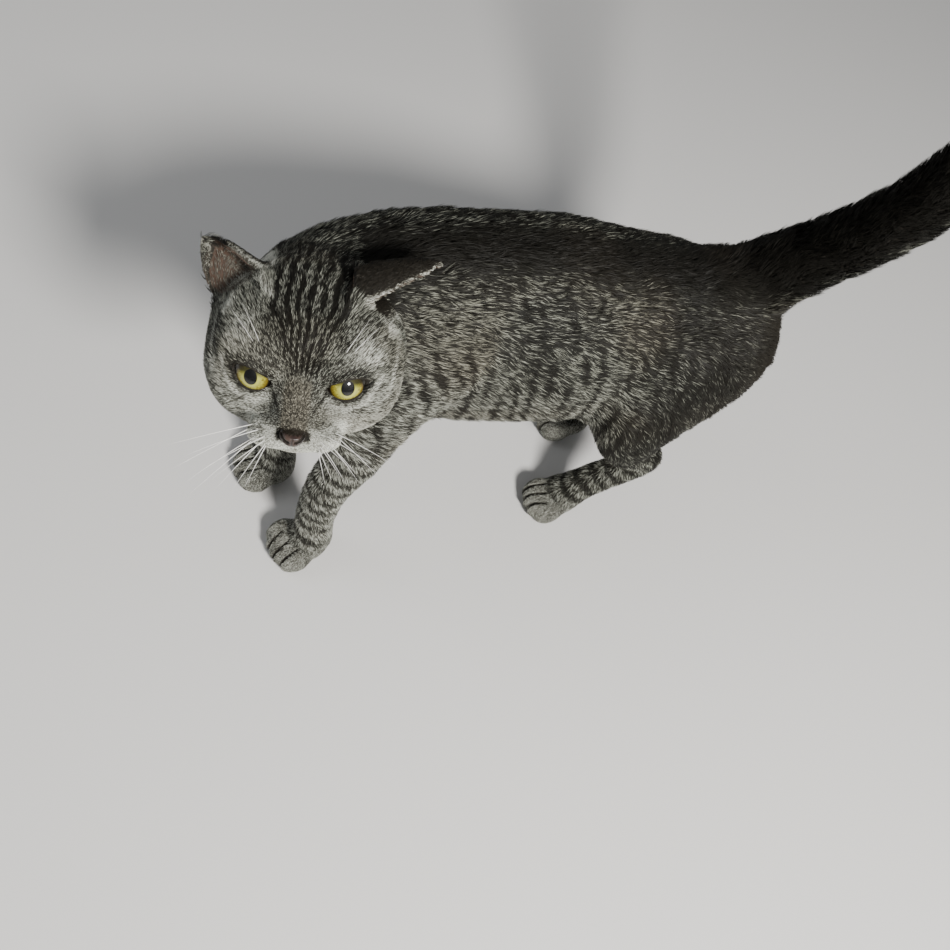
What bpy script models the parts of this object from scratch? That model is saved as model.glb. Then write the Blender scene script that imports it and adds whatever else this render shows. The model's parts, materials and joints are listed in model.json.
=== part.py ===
"""A life-size, short-haired tabby cat that stands with its head turned to its left and its tail raised.

The solids reach out to the tips of the coat. The cat faces -Y, its left side is +X, up is +Z, and the floor is z = 0.
Sizes are in metres and angles in degrees. The body is one smooth shape, blended from lofts and ellipsoids that are
named for the anatomy. Thin cuts part it into the pieces that a person would name. The eyes and the leather of the
nose are pieces of their own, set in sockets.
"""

import math

import bmesh
import bpy
import numpy as np
import openvdb
from mathutils import Matrix, Vector

GRID_STEP = 0.002
FAR = 0.05
GAP = 0.00035
FACES_KEPT = 5400
FINE_FAVOUR = 0.018
HEAD_REACH = 0.060
HEAD_FADE = 0.03

# The head's own frame: its origin is midway between the eyeballs, its nose points to -Y and its crown to +Z.
HEAD_AT = (0.0775, -0.129, 0.255)
HEAD_YAW = 70.7
HEAD_PITCH = -32.3
HEAD_ROLL = -5.2
HEAD_SCALE = 0.965
EYE_RADIUS = 0.0105
EYE_SPREAD = 0.0184
LID = 0.0022
LID_OPENING = (0.0102, 0.0140, 0.0045)
CANTHUS_TILT = 13
EYE_TOE_OUT = 12

NOSE_AT = (0, -0.0285, -0.0172)
NOSE_RADII = (0.0058, 0.0035, 0.0038)


# ---------------------------------------------------------------------------------------------------------------
# Shapes: each one lists pieces, and a piece is (lowest corner, highest corner, signed distance function)


def unit(vector):
    vector = np.array(vector, float)
    return vector / np.linalg.norm(vector)


def scaled_distance(parts, radii):
    """About the distance to an ellipsoid, from a point's components along its axes and the radii there."""
    near = np.sqrt(sum((p / r) ** 2 for p, r in zip(parts, radii)))
    slope = np.sqrt(sum((p / r**2) ** 2 for p, r in zip(parts, radii)))
    return near * (near - 1) / np.maximum(slope, 1e-9)


def ellipsoid(centre, radii, turn=(0, 0, 0), frame=None):
    """Turned by Z, then Y, then X, in a frame."""
    frame = frame or Matrix.Identity(4)
    scale = frame.median_scale
    radii = [radius * scale for radius in radii]
    turned = frame.to_3x3() * (1 / scale)
    for axis, angle in zip("ZYX", (turn[2], turn[1], turn[0])):
        turned = turned @ Matrix.Rotation(math.radians(angle), 3, axis)
    middle = np.array(frame @ Vector(centre))
    axes = np.array(turned).T

    def distance(points):
        return scaled_distance([(points - middle) @ axis for axis in axes], radii)

    return [(middle - max(radii), middle + max(radii), distance)]


def loft(stations, side, spacing=0.008, up_hint=(0, -0.35, 1)):
    """A body along a smooth line. Each station is (point, half width, height above the line, height below it)."""
    points = np.array([s[0] for s in stations])
    sizes = np.array([[s[1], s[2], s[-1]] for s in stations], float)
    points, sizes = smooth_line(points, sizes, spacing)
    return [link(points[i : i + 2], sizes[i : i + 2], unit(side), up_hint) for i in range(len(points) - 1)]


def link(ends, sizes, side, up_hint):
    along = ends[1] - ends[0]
    length = np.linalg.norm(along)
    tangent = along / length
    side = unit(side - (side @ tangent) * tangent)
    up = np.cross(tangent, side)
    up = up if up @ np.array(up_hint) > 0 else -up
    reach = sizes.max()

    def distance(points):
        offset = points - ends[0]
        share = np.clip(offset @ tangent / length, 0, 1)
        offset = offset - share[..., None] * along
        wide, above, below = (a + (b - a) * share for a, b in zip(*sizes))
        rise = offset @ up
        tall = np.where(rise > 0, above, below)
        return scaled_distance((offset @ side, rise, offset @ tangent), (wide, tall, np.minimum(wide, tall)))

    return ends.min(0) - reach, ends.max(0) + reach, distance


def smooth_line(points, sizes, spacing):
    """A Catmull-Rom curve through the stations, with about this spacing."""
    rows = np.hstack([points, sizes])
    rows = np.vstack([2 * rows[0] - rows[1], rows, 2 * rows[-1] - rows[-2]])
    made = []
    for a, b, c, d in zip(rows, rows[1:], rows[2:], rows[3:]):
        count = max(1, round(np.linalg.norm(c[:3] - b[:3]) / spacing))
        for t in np.arange(count) / count:
            bend = 2 * a - 5 * b + 4 * c - d
            made.append(0.5 * (2 * b + (c - a) * t + bend * t**2 + (3 * b - a - 3 * c + d) * t**3))
    made.append(rows[-2])
    made = np.array(made)
    return made[:, :3], np.maximum(made[:, 3:], 0.001)


def balls(centres, radii):
    """Small balls that touch, for a thin sheet such as an ear."""

    def ball(centre, radius):
        return centre - radius, centre + radius, lambda points: np.linalg.norm(points - centre, axis=-1) - radius

    return [ball(c, r) for c, r in zip(centres, radii)]


class Field:
    """The body's signed distance on a grid, negative inside."""

    def __init__(self, low, high, step=GRID_STEP):
        self.low = np.array(low)
        self.step = step
        counts = np.ceil((np.array(high) - self.low) / step).astype(int) + 1
        self.values = np.full(counts, FAR, np.float32)

    def window(self, low, high):
        counts = np.array(self.values.shape)
        first = np.clip(((low - self.low) / self.step).astype(int), 0, counts - 1)
        last = np.clip(((high - self.low) / self.step).astype(int) + 2, 1, counts)
        lines = [self.low[k] + self.step * np.arange(first[k], last[k]) for k in range(3)]
        return tuple(slice(a, b) for a, b in zip(first, last)), lines

    def sample(self, shape, margin):
        """The shape's distance in a window round it."""
        low = np.min([piece[0] for piece in shape], 0) - margin
        high = np.max([piece[1] for piece in shape], 0) + margin
        place, _ = self.window(low, high)
        sampled = np.full([s.stop - s.start for s in place], FAR, np.float32)
        for piece_low, piece_high, distance in shape:
            inner, lines = self.window(piece_low - margin, piece_high + margin)
            local = tuple(slice(s.start - p.start, s.stop - p.start) for s, p in zip(inner, place))
            points = np.stack(np.meshgrid(*lines, indexing="ij"), -1)
            sampled[local] = np.minimum(sampled[local], distance(points))
        return place, sampled

    def add(self, shape, blend=0.01):
        place, other = self.sample(shape, blend + 3 * self.step)
        mine = self.values[place]
        share = np.maximum(blend - np.abs(mine - other), 0) / blend
        self.values[place] = np.minimum(mine, other) - share**2 * blend / 4

    def carve(self, shape, blend=0.003):
        place, other = self.sample(shape, blend + 3 * self.step)
        mine = self.values[place]
        share = np.maximum(blend - np.abs(mine + other), 0) / blend
        self.values[place] = np.maximum(mine, -other) + share**2 * blend / 4

    def smooth(self, times):
        """Takes the ridges out of the blends."""
        for _ in range(times):
            for axis in range(3):
                before, after = np.roll(self.values, 1, axis), np.roll(self.values, -1, axis)
                self.values = 0.25 * before + 0.5 * self.values + 0.25 * after

    def flatten_below(self, height):
        """A flat sole at this height."""
        heights = self.low[2] + self.step * np.arange(self.values.shape[2])
        self.values = np.maximum(self.values, (height - heights).astype(np.float32))

    def mesh(self, name):
        grid = openvdb.FloatGrid(FAR)
        grid.copyFromArray(self.values)
        grid.transform = openvdb.createLinearTransform(self.step)
        points, quads = grid.convertToQuads(0.0)
        mesh = bpy.data.meshes.new(name)
        mesh.from_pydata(points + self.low, [], quads.tolist())
        return mesh


# ---------------------------------------------------------------------------------------------------------------
# Trunk, neck, tail and legs


def level(x, y, top, low, half_width):
    """A trunk station from the heights of its back and belly."""
    middle = low + 0.55 * (top - low)
    return (x, y, middle), half_width, top - middle, middle - low


TRUNK = [
    level(0.008, -0.100, 0.188, 0.138, 0.018),
    level(0.004, -0.076, 0.222, 0.116, 0.036),
    level(-0.005, -0.045, 0.242, 0.102, 0.043),
    level(-0.009, 0.000, 0.240, 0.093, 0.051),
    level(-0.010, 0.045, 0.231, 0.087, 0.055),
    level(-0.007, 0.090, 0.221, 0.092, 0.050),
    level(-0.003, 0.132, 0.209, 0.114, 0.042),
    level(0.000, 0.158, 0.196, 0.135, 0.032),
]
NECK = [
    ((-0.004, -0.050, 0.190), 0.040, 0.045),
    ((0.002, -0.082, 0.205), 0.038, 0.043),
    ((0.014, -0.106, 0.215), 0.036, 0.040),
    ((0.030, -0.116, 0.225), 0.033, 0.035),
]
TAIL = [
    ((-0.001, 0.142, 0.186), 0.027, 0.027),
    ((0.002, 0.168, 0.214), 0.0235, 0.0235),
    ((0.014, 0.185, 0.249), 0.0205, 0.0205),
    ((0.028, 0.193, 0.287), 0.0192, 0.0192),
    ((0.037, 0.199, 0.328), 0.0184, 0.0184),
    ((0.042, 0.205, 0.368), 0.0173, 0.0173),
    ((0.044, 0.216, 0.405), 0.0150, 0.0150),
    ((0.043, 0.232, 0.435), 0.0105, 0.0105),
]


def foreleg(shoulder_x, paw_x, paw_y):
    """Shoulder, arm, elbow, forearm and wrist."""
    return [
        ((shoulder_x * 0.85, -0.066, 0.182), 0.018, 0.034, 0.034),
        ((shoulder_x, -0.075, 0.145), 0.0175, 0.025, 0.025),
        ((shoulder_x, -0.079, 0.112), 0.0158, 0.0180, 0.0180),
        ((0.6 * shoulder_x + 0.4 * paw_x, 0.5 * paw_y - 0.038, 0.080), 0.0138, 0.0145, 0.0145),
        ((0.1 * shoulder_x + 0.9 * paw_x, paw_y + 0.011, 0.046), 0.0125, 0.0133, 0.0130),
        ((paw_x, paw_y + 0.012, 0.024), 0.0140, 0.0130, 0.0130),
    ]


def hindleg(hip, knee, hock, toe):
    """Hip, thigh, knee, shank, hock and the long foot down to the toes."""
    shank = tuple(0.5 * (k + h) for k, h in zip(knee, hock))
    instep = tuple(0.45 * h + 0.55 * t for h, t in zip(hock, toe))
    return [
        (hip, 0.021, 0.042, 0.040),
        ((0.6 * hip[0] + 0.4 * knee[0], hip[1] - 0.012, 0.142), 0.0225, 0.042, 0.042),
        ((knee[0], knee[1] + 0.016, knee[2] + 0.008), 0.0200, 0.030, 0.031),
        (shank, 0.0155, 0.018, 0.018),
        (hock, 0.0118, 0.0125, 0.0125),
        ((instep[0], instep[1], instep[2] + 0.002), 0.0120, 0.0118, 0.0118),
        ((toe[0], toe[1] + 0.012, 0.018), 0.0135, 0.0120, 0.0120),
    ]


def add_paw(body, toe, width, turn):
    """Four toes in an arc, on a round pad."""
    place = Matrix.Translation(toe) @ Matrix.Rotation(math.radians(turn), 4, "Z")
    body.add(ellipsoid((0, 0.008, 0.0), (0.75 * width, 0.016, 0.0135), frame=place), 0.008)
    for offset in (-1.5, -0.5, 0.5, 1.5):
        lead = 0.0045 * (1 - abs(offset) / 1.5)
        centre = (0.42 * width * offset, -0.004 - lead, -0.0015)
        body.add(ellipsoid(centre, (0.31 * width, 0.0105, 0.0110), (0, 0, -6 * offset), place), 0.003)


FOREPAWS = {"left": (0.045, -0.107, 0.0108), "right": (-0.016, -0.120, 0.0108)}
HINDPAWS = {"left": (0.036, 0.078, 0.0108), "right": (-0.030, 0.108, 0.0108)}
PAW_TURN = {"left": 12, "right": -4}
FOREPAW_WIDTH = 0.0195
HINDPAW_WIDTH = 0.0180


def add_legs(body):
    for name, shoulder_x in (("left", 0.040), ("right", -0.032)):
        toe = FOREPAWS[name]
        body.add(loft(foreleg(shoulder_x, toe[0], toe[1]), (1, 0, 0)), 0.016)
    for name, side in (("left", 1), ("right", -1)):
        toe = HINDPAWS[name]
        knee = (side * 0.044 - 0.003, 0.088 + 0.3 * (toe[1] - 0.08), 0.108)
        hip = (side * 0.032 - 0.003, 0.128, 0.172)
        hock = (side * 0.046 - 0.002, toe[1] + 0.051, 0.074)
        body.add(loft(hindleg(hip, knee, hock, toe), (1, 0, 0)), 0.016)
        body.add(ellipsoid((side * 0.021, 0.153, 0.150), (0.023, 0.031, 0.043), (-20, 0, 0)), 0.02)


# ---------------------------------------------------------------------------------------------------------------
# Head


def head_frame():
    turned = Matrix.Translation(HEAD_AT) @ Matrix.Rotation(math.radians(HEAD_YAW), 4, "Z")
    turned = turned @ Matrix.Rotation(math.radians(HEAD_PITCH), 4, "X")
    return turned @ Matrix.Rotation(math.radians(HEAD_ROLL), 4, "Y") @ Matrix.Scale(HEAD_SCALE, 4)


HEAD_LUMPS = [
    # centre, radii, blend; a lump off the middle has a twin
    ((0, 0.037, 0.005), (0.036, 0.034, 0.030), 0.020),
    ((0, 0.012, 0.008), (0.027, 0.022, 0.018), 0.012),
    ((0.026, 0.030, 0.002), (0.019, 0.026, 0.022), 0.014),
    ((0.022, 0.016, -0.012), (0.019, 0.022, 0.017), 0.014),
    ((0, 0.008, -0.020), (0.020, 0.024, 0.014), 0.012),
    ((0, -0.008, -0.007), (0.010, 0.015, 0.010), 0.008),
    ((0, -0.0195, -0.0140), (0.0075, 0.0105, 0.0060), 0.005),
    ((0.0095, -0.0165, -0.0212), (0.0115, 0.0110, 0.0066), 0.005),
    ((0, -0.009, -0.0265), (0.0095, 0.0100, 0.0050), 0.006),
    ((0.021, 0.006, 0.0095), (0.0140, 0.0100, 0.0055), 0.008),
]


def add_head(body):
    frame = head_frame()
    for centre, radii, blend in HEAD_LUMPS:
        for mirror in (1, -1) if centre[0] else (1,):
            body.add(ellipsoid((centre[0] * mirror, centre[1], centre[2]), radii, frame=frame), blend)
    for side in (1, -1):
        lid = EYE_RADIUS + LID
        eye = (side * EYE_SPREAD, 0, 0)
        body.add(ellipsoid(eye, (lid, lid, lid), frame=frame), 0.004)
        opening = frame @ Matrix.Translation(eye) @ Matrix.Rotation(math.radians(side * EYE_TOE_OUT), 4, "Z")
        tilt = (0, -side * CANTHUS_TILT, 0)
        body.carve(ellipsoid((0, -0.012, -0.0012), LID_OPENING, tilt, opening), 0.002)
    for side in ("left", "right"):
        add_ear(body, side)


EARS = {
    # Base of the front rim, base of the rear rim, tip, the way the cup bulges, how far, and the way to cut it off.
    "left": ((0.0225, 0.0170, 0.0290), (0.027, 0.056, 0.027), (0.0590, 0.0545, 0.0415), (-0.25, 0.05, 0.95), 0.013, (0.85, -0.10, 0.52)),
    "right": ((-0.018, 0.018, 0.029), (-0.042, 0.034, 0.012), (-0.0555, 0.0528, 0.0420), (0.50, 0.80, 0.30), 0.021, (-0.75, 0.35, 0.56)),
}
EAR_CUT_SHARE = 0.27
EAR_ROWS = 38
EAR_COLUMNS = 26
EAR_SINK = 0.15
EAR_SWELL = 0.0050
EAR_HALF_THICKNESS = 0.0019


def ear_points(side):
    """Points of the ear's sheet, in the head's frame: a cup whose two rims meet at the tip."""
    front, rear, tip, bulge, depth, _ = EARS[side]
    front, rear, tip = (np.array(p) for p in (front, rear, tip))
    points = []
    for up in np.linspace(-EAR_SINK, 1, EAR_ROWS):
        swell = math.sin(math.pi * max(up, 0)) * EAR_SWELL
        rims = [foot + (tip - foot) * up for foot in (front, rear)]
        across = rims[1] - rims[0]
        for share in np.linspace(0, 1, EAR_COLUMNS):
            edge = unit(rear - front) * swell * (2 * share - 1)
            cup = unit(bulge) * depth * (1 - up) ** 0.7 * math.sin(math.pi * share)
            points.append(rims[0] + across * share + edge + cup)
    return np.array(points)


def add_ear(body, side):
    frame = head_frame()
    points = np.array([frame @ Vector(p) for p in ear_points(side)])
    body.add(balls(points, np.full(len(points), EAR_HALF_THICKNESS)), 0.003)


def build_body():
    body = Field((-0.09, -0.20, -0.01), (0.15, 0.26, 0.47))
    body.add(loft(TRUNK, (1, 0, 0)), 0.01)
    body.add(loft(NECK, (0.8, 0.6, 0)), 0.03)
    body.add(loft(TAIL, (1, 0, 0)), 0.02)
    add_legs(body)
    body.smooth(3)
    for side in ("left", "right"):
        add_paw(body, FOREPAWS[side], FOREPAW_WIDTH, PAW_TURN[side])
        add_paw(body, HINDPAWS[side], HINDPAW_WIDTH, PAW_TURN[side])
    add_head(body)
    body.flatten_below(0)
    return body


# ---------------------------------------------------------------------------------------------------------------
# Parting the whole shape

# Each cut takes from its first piece what lies beyond a plane, and names that: piece, point, normal, name.
# What comes off as a pair gets _left and _right.
CUTS = [
    ("trunk", (0.001, 0.163, 0.203), (0.10, 0.42, 0.90), "tail_root"),
    ("tail_root", (0.022, 0.191, 0.268), (0.36, 0.22, 0.90), "tail_middle"),
    ("tail_middle", (0.040, 0.203, 0.348), (0.15, 0.15, 0.98), "tail_end"),
    ("trunk", (0.024, -0.110, 0.222), (0.72, -0.38, 0.58), "head"),
    ("trunk", (0.002, -0.070, 0.200), (0.35, -0.65, 0.65), "neck"),
    ("trunk", (0.000, 0.0740, 0.100), (0.0, 0.936, -0.351), "rump"),
    ("rump", (0.000, 0.110, 0.0885), (0.0, 0.0, -1.0), "shank"),
    ("rump", (0.022, 0.120, 0.130), (0.90, 0.0, -0.43), "thigh_left"),
    ("rump", (-0.026, 0.120, 0.130), (-0.90, 0.0, -0.43), "thigh_right"),
    ("trunk", (0.000, -0.070, 0.100), (0.0, -0.25, -0.97), "foreleg"),
]
WRIST_HEIGHT = 0.034
SOLE_DEPTH = 0.0008
PAWS = {"foreleg": "forepaw", "shank": "hindpaw"}


def all_cuts():
    frame = head_frame()
    cuts = list(CUTS)
    for leg, paw in PAWS.items():
        for side in ("left", "right"):
            cuts.append((leg + "_" + side, (0, 0, WRIST_HEIGHT), (0, 0, -1), paw + "_" + side))
    for side, ear in EARS.items():
        front, rear, tip = (Vector(p) for p in ear[:3])
        foot = 0.5 * (front + rear)
        point = frame @ (foot + EAR_CUT_SHARE * (tip - foot))
        cuts.append(("head", point, frame.to_3x3() @ Vector(ear[5]), "ear_" + side))
    return cuts


def far_half(piece, point, normal):
    """The part of a closed mesh beyond a plane, closed again and set back by half the gap."""
    made = piece.copy()
    normal = Vector(normal).normalized()
    point = Vector(point) + normal * GAP / 2
    geometry = made.verts[:] + made.edges[:] + made.faces[:]
    bmesh.ops.bisect_plane(made, geom=geometry, dist=1e-7, plane_co=point, plane_no=normal, clear_inner=True)
    rim = [edge for edge in made.edges if edge.is_boundary]
    filled = bmesh.ops.holes_fill(made, edges=rim, sides=0)
    bmesh.ops.triangulate(made, faces=[face for face in filled["faces"] if len(face.verts) > 3])
    return made


def island_of(vert):
    reached = {vert}
    front = [vert]
    while front:
        for edge in front.pop().link_edges:
            for other in edge.verts:
                if other not in reached:
                    reached.add(other)
                    front.append(other)
    return reached


def islands(piece):
    """The separate closed bodies of a mesh, as meshes."""
    left = set(piece.verts)
    found = []
    piece.verts.index_update()
    while left:
        island = island_of(next(iter(left)))
        left -= island
        found.append({vert.index for vert in island})
    made = []
    for numbers in found:
        single = piece.copy()
        single.verts.index_update()
        bmesh.ops.delete(single, geom=[v for v in single.verts if v.index not in numbers], context="VERTS")
        made.append(single)
    return made


def cut_up(mesh):
    """The named pieces of the whole shape."""
    whole = bmesh.new()
    whole.from_mesh(mesh)
    pieces = {"trunk": whole}
    for source, point, normal, name in all_cuts():
        piece = pieces[source]
        near = far_half(piece, point, -Vector(normal))
        far = islands(far_half(piece, point, normal))
        pieces[source] = near
        if len(far) == 1:
            pieces[name] = far[0]
            continue
        for single in far:
            mean_x = sum(vert.co.x for vert in single.verts) / len(single.verts)
            pieces[name + ("_left" if mean_x > 0 else "_right")] = single
    return pieces


# ---------------------------------------------------------------------------------------------------------------
# Objects


def clear_scene():
    for thing in list(bpy.data.objects):
        bpy.data.objects.remove(thing)


def material(name, colour, roughness):
    made = bpy.data.materials.new(name)
    made.use_nodes = True
    shader = made.node_tree.nodes["Principled BSDF"]
    shader.inputs["Base Color"].default_value = (*colour, 1)
    shader.inputs["Roughness"].default_value = roughness
    shader.inputs["Metallic"].default_value = 0
    return made


def new_object(name, mesh, finish):
    made = bpy.data.objects.new(name, mesh)
    bpy.context.scene.collection.objects.link(made)
    if finish:
        mesh.materials.append(finish)
    else:
        made.hide_render = True
        made.display_type = "WIRE"
    return made


def mesh_of(piece, name):
    mesh = bpy.data.meshes.new(name)
    piece.to_mesh(mesh)
    mesh.shade_smooth()
    return mesh


def thinned(mesh):
    """The same shape in far fewer faces, which stay smaller on the head and paws."""
    source = bpy.data.objects.new("whole", mesh)
    bpy.context.scene.collection.objects.link(source)
    coarse = source.vertex_groups.new(name="coarse")
    middle = Vector(HEAD_AT)
    for vert in mesh.vertices:
        from_head = max((vert.co - middle).length - HEAD_REACH, 0) / HEAD_FADE
        from_paws = max(vert.co.z - WRIST_HEIGHT, 0) / HEAD_FADE
        near = 1 - min(from_head, from_paws, 1)
        coarse.add([vert.index], 1 - FINE_FAVOUR * near, "REPLACE")
    thinner = source.modifiers.new("thinner", "DECIMATE")
    thinner.ratio = FACES_KEPT / (2 * len(mesh.polygons))
    thinner.vertex_group = "coarse"
    depsgraph = bpy.context.evaluated_depsgraph_get()
    made = bpy.data.meshes.new_from_object(source.evaluated_get(depsgraph))
    bpy.data.objects.remove(source)
    return made


def ball_mesh(name, centre, radii, frame):
    """A closed ball or ellipsoid in a frame, with its poles to the front and back."""
    made = bmesh.new()
    turned = frame @ Matrix.Translation(centre) @ Matrix.Rotation(math.radians(90), 4, "X")
    scaled = turned @ Matrix.Diagonal((radii[0], radii[2], radii[1], 1))
    bmesh.ops.create_uvsphere(made, u_segments=16, v_segments=10, radius=1, matrix=scaled)
    return mesh_of(made, name)


def add_in_socket(head, name, centre, radii, finish):
    """A ball in a socket of the head, with a gap all round."""
    frame = head_frame()
    wider = tuple(radius + GAP / HEAD_SCALE for radius in radii)
    piece = new_object(name, ball_mesh(name, centre, radii, frame), finish)
    cutter = new_object(name + ".socket", ball_mesh(name + ".socket", centre, wider, frame), None)
    socket = head.modifiers.new(name, "BOOLEAN")
    socket.object = cutter
    socket.operation = "DIFFERENCE"
    return piece


def stand_at_origin():
    """Puts the middle of the footprint's box at x = y = 0 and the soles at z = 0."""
    parts = [thing for thing in bpy.context.scene.objects if not thing.hide_render]
    points = np.array([vert.co for part in parts for vert in part.data.vertices])
    low, high = points.min(0), points.max(0)
    shift = Matrix.Translation((-(low[0] + high[0]) / 2, -(low[1] + high[1]) / 2, -low[2]))
    for thing in bpy.context.scene.objects:
        thing.data.transform(shift)
    for vert in (vert for part in parts for vert in part.data.vertices):
        if vert.co.z < SOLE_DEPTH:
            vert.co.z = 0


def main():
    clear_scene()
    coat = material("coat", (0.16, 0.14, 0.12), 0.8)
    pieces = cut_up(thinned(build_body().mesh("whole")))
    for name, piece in pieces.items():
        new_object(name, mesh_of(piece, name), coat)
    head = bpy.data.objects["head"]
    eye = material("eye", (0.45, 0.42, 0.10), 0.08)
    for name, side in (("left", 1), ("right", -1)):
        add_in_socket(head, "eye_" + name, (side * EYE_SPREAD, 0, 0), (EYE_RADIUS,) * 3, eye)
    leather = material("nose_leather", (0.20, 0.09, 0.07), 0.5)
    add_in_socket(head, "nose_leather", NOSE_AT, NOSE_RADII, leather)
    stand_at_origin()


if __name__ in ("__main__", "part"):
    main()
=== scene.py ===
"""A life-size domestic tabby cat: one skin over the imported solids, a coat of tufts, eyes, nose and whiskers."""

import itertools
import json
import math

import bmesh
import bpy
import numpy as np
import openvdb
from mathutils import Matrix, Quaternion, Vector


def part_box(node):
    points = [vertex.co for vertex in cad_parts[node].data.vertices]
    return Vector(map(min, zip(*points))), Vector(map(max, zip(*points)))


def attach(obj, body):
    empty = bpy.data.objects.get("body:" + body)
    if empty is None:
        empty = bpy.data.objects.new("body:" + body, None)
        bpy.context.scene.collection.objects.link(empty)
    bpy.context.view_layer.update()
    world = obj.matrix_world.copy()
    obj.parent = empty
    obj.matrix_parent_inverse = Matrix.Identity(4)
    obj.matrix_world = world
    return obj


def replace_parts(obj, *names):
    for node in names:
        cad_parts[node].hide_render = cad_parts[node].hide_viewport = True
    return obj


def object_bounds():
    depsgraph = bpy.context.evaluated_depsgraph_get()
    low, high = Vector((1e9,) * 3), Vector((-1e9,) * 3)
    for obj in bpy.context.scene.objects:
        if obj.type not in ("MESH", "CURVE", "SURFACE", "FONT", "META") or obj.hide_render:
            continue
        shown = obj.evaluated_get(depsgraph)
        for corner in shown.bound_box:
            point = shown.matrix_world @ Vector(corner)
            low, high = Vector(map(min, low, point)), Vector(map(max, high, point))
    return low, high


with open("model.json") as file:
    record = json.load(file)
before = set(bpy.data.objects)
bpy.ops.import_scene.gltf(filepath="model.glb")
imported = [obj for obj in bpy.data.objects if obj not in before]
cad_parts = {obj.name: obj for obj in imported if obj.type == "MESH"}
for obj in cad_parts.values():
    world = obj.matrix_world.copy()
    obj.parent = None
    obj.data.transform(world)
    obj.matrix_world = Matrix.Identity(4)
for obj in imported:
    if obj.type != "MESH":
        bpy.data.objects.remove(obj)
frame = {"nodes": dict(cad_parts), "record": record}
cad_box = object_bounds()
LOW, HIGH = (np.array(corner) for corner in cad_box)
rng = np.random.default_rng(7)
UP = np.array([0.0, 0.0, 1.0])
BOTH = ("left", "right")

# ---- places, from the frame

FLESH = [row["node"] for row in frame["record"]["subparts"] if row["material_slot"] == "coat"]
EYE_RADIUS = float((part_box("eye_left")[1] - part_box("eye_left")[0])[2]) / 2
NOSE_DROP = math.radians(31.1)
COARSE, FINE, SEAM = 0.0016, 0.0008, 0.0006
CLOSE_UP_MARGIN, CLOSE_UP_BLEND = 0.012, 0.006
FLOOR_GAP = 0.0003


def unit(v):
    return v / np.maximum(np.linalg.norm(v, axis=-1, keepdims=True), 1e-12)


def smoothstep(low, high, x):
    t = np.clip((x - low) / (high - low), 0, 1)
    return t * t * (3 - 2 * t)


def bell(x, width):
    return np.exp(-((x / width) ** 2))


def corners_of(node):
    low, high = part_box(node)
    return np.array(low), np.array(high)


def middle(node):
    low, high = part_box(node)
    return np.array((low + high) / 2)


def top_of(node):
    """The middle of the highest part of a node."""
    points = coordinates(frame_mesh(node))
    return points[points[:, 2] > points[:, 2].max() - 0.006].mean(0)


def frame_mesh(node):
    return frame["nodes"][node].data


def read(items, key, width=3, kind=np.int32):
    """One row for each item of a mesh."""
    values = np.empty(len(items) * width, kind)
    items.foreach_get(key, values)
    return values.reshape(-1, width) if width > 1 else values


def coordinates(mesh):
    return read(mesh.vertices, "co", kind=np.float32).astype(float)


def move_points(mesh, points):
    mesh.vertices.foreach_set("co", points.ravel().astype(np.float32))


def add_piece(name, mesh, material):
    """An object in the scene for a smooth mesh."""
    mesh.polygons.foreach_set("use_smooth", np.ones(len(mesh.polygons), bool))
    mesh.materials.append(material)
    piece = bpy.data.objects.new(name, mesh)
    bpy.context.scene.collection.objects.link(piece)
    return piece


def head_axes():
    """The head's own axes: to its left, backwards and up, from the eyes and the nose."""
    across = unit(middle("eye_left") - middle("eye_right"))
    centre = (middle("eye_left") + middle("eye_right")) / 2
    down_nose = middle("nose_leather") - centre
    down_nose = unit(down_nose - across * down_nose.dot(across))
    other = np.cross(across, down_nose)
    forward = math.cos(NOSE_DROP) * down_nose - math.sin(NOSE_DROP) * other
    crown = -math.sin(NOSE_DROP) * down_nose - math.cos(NOSE_DROP) * other
    return centre, np.array([across, -forward, crown])


HEAD, HEAD_AXES = head_axes()


def to_head(points):
    """World points in the head's own axes, in metres from the middle between the eyes."""
    return (points - HEAD) @ HEAD_AXES.T


def from_head(points):
    return np.asarray(points) @ HEAD_AXES + HEAD


# ---- the flesh as a field of distances


def cell_corners(f):
    """The eight corners of a cell, each with its share at the places f within the cell."""
    for corner in itertools.product((0, 1), repeat=3):
        yield np.array(corner), np.where(corner, f, 1 - f).prod(1)


class Field:
    """Values on a regular grid, read between its points."""

    def __init__(self, low, step, values):
        self.low, self.step, self.values = np.array(low, float), step, values
        self.high = self.low + step * (np.array(values.shape) - 1)

    def __call__(self, points):
        at = (points - self.low) / self.step
        at = np.clip(at, 0, np.array(self.values.shape) - 1.001)
        i = at.astype(int)
        f = (at - i).astype(np.float32)
        return sum(share * self.values[tuple((i + corner).T)] for corner, share in cell_corners(f))

    def blurred(self, times):
        v = self.values
        for _ in range(times):
            for axis in range(3):
                edge = [(1, 1) if k == axis else (0, 0) for k in range(3)]
                p = np.pad(v, edge, mode="edge")
                count = v.shape[axis]
                before, here, after = (p.take(range(k, k + count), axis) for k in range(3))
                v = 0.25 * before + 0.5 * here + 0.25 * after
        return Field(self.low, self.step, v)

    def faces_at_zero(self):
        grid = openvdb.FloatGrid(1.0)
        grid.copyFromArray(np.ascontiguousarray(self.values, dtype=np.float32))
        points, quads = grid.convertToQuads(0.0)
        return self.low + points * self.step, quads.astype(int)


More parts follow.
